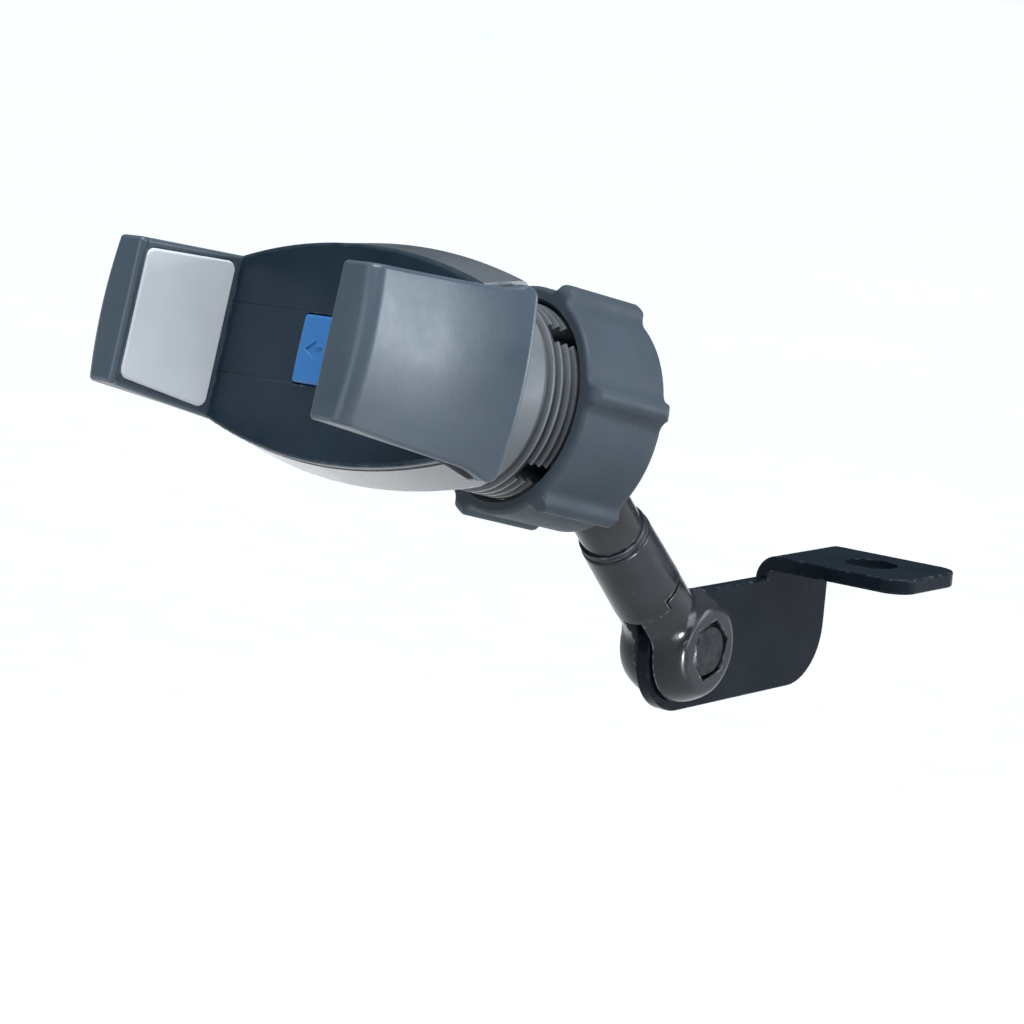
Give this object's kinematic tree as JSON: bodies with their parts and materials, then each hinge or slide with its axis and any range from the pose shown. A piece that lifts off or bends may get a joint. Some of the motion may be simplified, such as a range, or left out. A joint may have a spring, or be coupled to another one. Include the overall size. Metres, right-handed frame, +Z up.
{
  "type": "phone handlebar mount",
  "caption": "Spring-loaded phone cradle with padded jaws and a release button, clamped by a lobed ring nut to a ball arm that pivots on an L-shaped mirror-stem bracket",
  "frame": {"origin": "centre of the mirror-stem hole, halfway through the bracket's tab", "axes": "+Z up along the mirror stem, +X the way the tab reaches from the strip, +Y from the arm's pivot towards the stem"},
  "size_m": [0.088, 0.18, 0.091],
  "materials": {
    "anodised_black": "glossy black anodised aluminium",
    "black_nylon": "black nylon",
    "button_plastic": "satin blue plastic",
    "cast_black": "satin black coating on cast aluminium",
    "grained_plastic": "grained black glass-filled plastic",
    "nylon": "natural nylon",
    "pad_rubber": "smooth pale grey rubber",
    "powder_coat": "gloss black powder coat on steel",
    "ring_metal": "black seal",
    "satin_plastic": "fine satin black plastic",
    "screw_steel": "blackened steel",
    "spring_steel": "bright spring steel"
  },
  "bodies": {
    "bracket": {"mirror_bracket": "powder_coat", "friction_discs": "nylon"},
    "arm": {"knuckle": "cast_black", "pivot_bolt": "screw_steel", "pivot_nut": "screw_steel", "arm_sleeve": "cast_black", "stem_lock_screw": "screw_steel", "sleeve_seal_ring": "ring_metal"},
    "stem": {"ball_stem": "anodised_black"},
    "seat": {"ball_seat": "black_nylon"},
    "cradle": {"socket_collet": "grained_plastic", "collet_screws": "screw_steel", "rear_shell": "grained_plastic", "front_cover": "satin_plastic", "housing_screws": "screw_steel", "button_spring": "spring_steel", "jaw_springs": "spring_steel"},
    "nut": {"ring_nut": "satin_plastic"},
    "jaw_left": {"left_jaw": "satin_plastic", "left_pad": "pad_rubber"},
    "jaw_right": {"right_jaw": "satin_plastic", "right_pad": "pad_rubber"},
    "pinion": {"pinion_gear": "nylon"},
    "button": {"release_button": "button_plastic"},
    "pawl": {"latch_pawl": "nylon"}
  },
  "joints": [
    {"name": "arm_tilt", "type": "hinge", "parent": "bracket", "child": "arm", "pos_m": [-0.0178, -0.0398, -0.0133], "axis": [1, 0, 0], "range_deg": [-70, 120]},
    {"name": "stem_swivel", "type": "hinge", "parent": "arm", "child": "stem", "pos_m": [-0.0178, -0.0398, -0.0133], "axis": [0, -0.7254, 0.6884], "continuous": true},
    {"name": "ball_tilt", "type": "hinge", "parent": "stem", "child": "seat", "pos_m": [-0.0178, -0.09087, 0.03516], "axis": [0.8753, -0.3329, -0.3508], "range_deg": [-68, 1.5]},
    {"name": "cradle_spin", "type": "hinge", "parent": "seat", "child": "cradle", "pos_m": [-0.0178, -0.09087, 0.03516], "axis": [-0.2708, -0.9384, 0.2147], "continuous": true},
    {"name": "nut_turn", "type": "hinge", "parent": "cradle", "child": "nut", "pos_m": [-0.0178, -0.09087, 0.03516], "axis": [-0.2708, -0.9384, 0.2147], "range_deg": [0, 120]},
    {"name": "left_jaw_slide", "type": "slide", "parent": "cradle", "child": "jaw_left", "axis": [-0.9626, 0.2646, -0.0579], "range_m": [0, 0.014]},
    {"name": "right_jaw_slide", "type": "slide", "parent": "cradle", "child": "jaw_right", "axis": [0.9626, -0.2646, 0.0579], "range_m": [0, 0.014]},
    {"name": "pinion_turn", "type": "hinge", "parent": "cradle", "child": "pinion", "pos_m": [-0.03029, -0.13412, 0.04506], "axis": [-0.2708, -0.9384, 0.2147], "range_deg": [0, 135]},
    {"name": "button_press", "type": "slide", "parent": "cradle", "child": "button", "axis": [0.2708, 0.9384, -0.2147], "range_m": [0, 0.001], "stiffness_N_per_m": 400, "springref_m": -0.002},
    {"name": "pawl_swing", "type": "hinge", "parent": "cradle", "child": "pawl", "pos_m": [-0.04184, -0.13095, 0.04436], "axis": [-0.2708, -0.9384, 0.2147], "range_deg": [0, 14]}
  ],
  "couplings": [
    {"joint": "right_jaw_slide", "follows": "left_jaw_slide", "ratio": 1},
    {"joint": "pinion_turn", "follows": "left_jaw_slide", "rad_per_m": 166.67},
    {"joint": "pawl_swing", "follows": "button_press", "rad_per_m": 209.44}
  ]
}
